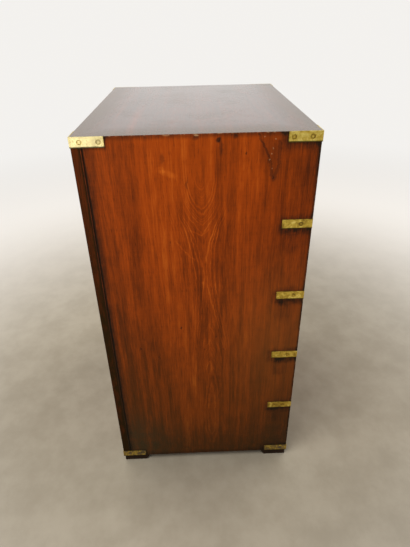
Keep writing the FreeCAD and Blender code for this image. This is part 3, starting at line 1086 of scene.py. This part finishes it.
def build_camera():
    """The camera that took the photo."""
    data = bpy.data.cameras.new("camera")
    data.lens = CAMERA_LENS
    data.sensor_width = 36.0
    data.clip_start = 0.01
    camera = add_object("camera", data)
    yaw, pitch, roll = (math.radians(angle) for angle in CAMERA_TURN)
    flat = math.cos(pitch)
    ahead = Vector((math.cos(yaw) * flat, -math.sin(yaw) * flat, -math.sin(pitch)))
    level = Vector((-math.sin(yaw), -math.cos(yaw), 0.0))
    up = level.cross(ahead)
    right = level * math.cos(roll) + up * math.sin(roll)
    top = up * math.cos(roll) - level * math.sin(roll)
    turn = Matrix((right, top, -ahead)).transposed()
    camera.matrix_world = Matrix.LocRotScale(Vector(CAMERA_PLACE), turn, None)
    bpy.context.scene.camera = camera


bpy.context.scene.view_settings.view_transform = "Standard"
build_camera()
build_floor()
build_world()
lamp("key", (-1.05, 0.85, 2.00), (-0.28, 0.0, 0.78), 1.2, 29.0, (1.0, 0.96, 0.90), mirrored=False)
lamp("low", (-1.45, 0.62, 0.62), (-0.28, 0.15, 0.88), 0.5, 1.2, (1.0, 0.97, 0.92))
lamp("fill", (1.1, -1.9, 2.5), (0.0, 0.0, 0.5), 2.4, 52.0, (1.0, 0.97, 0.93), mirrored=False)
lamp("back", (1.7, 1.5, 2.7), (0.0, 0.0, 0.5), 2.4, 48.0, (1.0, 0.97, 0.93), mirrored=False)

# Materials of the wooden nodes
assign(EndBoard("mahogany_left", -1, 3.0, marked=True).finish(), "left_side")
assign(EndBoard("mahogany_right", 1, 11.0, marked=False).finish(), "right_side")
assign(top_wood("mahogany_top", 21.0), "top_board")
assign(plain_wood("mahogany_bottom", "X", "Y", MAHOGANY, 0.36, 23.0), "bottom_board")
assign(plain_wood("mahogany_rails", "X", "Z", MAHOGANY, 0.50, 31.0), "divider_rails")
assign(plain_wood("mahogany_feet", "X", "Z", MAHOGANY, 0.12, 51.0, dirt=foot_dirt), "feet")
back_rail_wood = plain_wood(
    "mahogany_back", "X", "Z", MAHOGANY, 0.34, 35.0, figure=0.7,
    dirt=face_dirt("back_rails", "X", 0.012, 0.6),
)
stile_wood = plain_wood(
    "mahogany_stiles", "Z", "X", MAHOGANY, 0.32, 41.0, figure=0.7,
    dirt=stile_dirt, film=STILE_GRIME, specular=0.05,
)
panel_wood = plain_wood(
    "mahogany_panels", "Z", "X", MAHOGANY, 0.40, 45.0, figure=0.7,
    dirt=face_dirt("back_panels", "XZ", 0.030, 0.6),
)
assign(back_rail_wood, "back_rails")
assign(stile_wood, "back_stiles")
assign(panel_wood, "back_panels")
for n in DRAWERS:
    low, high = front_boxes[n]
    front_wood = plain_wood(
        f"mahogany_front_{n}", "X", "Z", MAHOGANY, 0.56, 60.0 + 7 * n,
        heart=(low.z + high.z) / 2 + 0.012 * (n - 3),
        roughness=0.32, specular=0.25, dirt=front_dirt(n),
    )
    assign(front_wood, f"drawer_{n}_front")
lining_long = plain_wood("lining_long", "Y", "Z", LINING, 0.60, 5.0)
lining_wide = plain_wood("lining_wide", "X", "Z", LINING, 0.60, 15.0)
lining_flat = plain_wood("lining_flat", "X", "Y", LINING, 0.60, 25.0)
assign(lining_long, "drawer_runners", *[f"drawer_{n}_sides" for n in DRAWERS])
assign(lining_wide, "drawer_stops", *[f"drawer_{n}_back" for n in DRAWERS])
assign(lining_flat, "dust_boards", *[f"drawer_{n}_bottom" for n in DRAWERS])

# Materials of the brass nodes
METALWORK = ("handle_plates", "bail_left", "bail_right", "lock", "lock_bolt")
assign(brass("brass_straps", "Y", 0.70, strap=True), "corner_straps", "divider_straps")
fitting_brass = brass("brass_fittings", "X")
for n in DRAWERS:
    assign(fitting_brass, *[f"drawer_{n}_{piece}" for piece in METALWORK])

# Eased edges of all CAD nodes
for name, piece in nodes.items():
    metal = "strap" in name or name.split("_", 2)[-1] in METALWORK
    ease(piece, BRASS_EDGE if metal else WOOD_EDGE)

# Screws, each with its slot turned by chance
chance = random.Random(7)
strap_spots = strap_screws()
strap_screw_brass = brass("brass_strap_screws", "Z", 0.58, strap=True)
plate_screw_brass = brass("brass_plate_screws", "Z", 0.40)
sink_seats(strap_spots, "corner_straps", "divider_straps")
screws("strap_screws", "case", strap_spots, HEAD, HEAD_RISE, chance, strap_screw_brass)
for n in DRAWERS:
    screws(
        f"drawer_{n}_screws", f"drawer_{n}_box", plate_screws(n), PLATE_HEAD,
        PLATE_HEAD_RISE, chance, plate_screw_brass,
    )
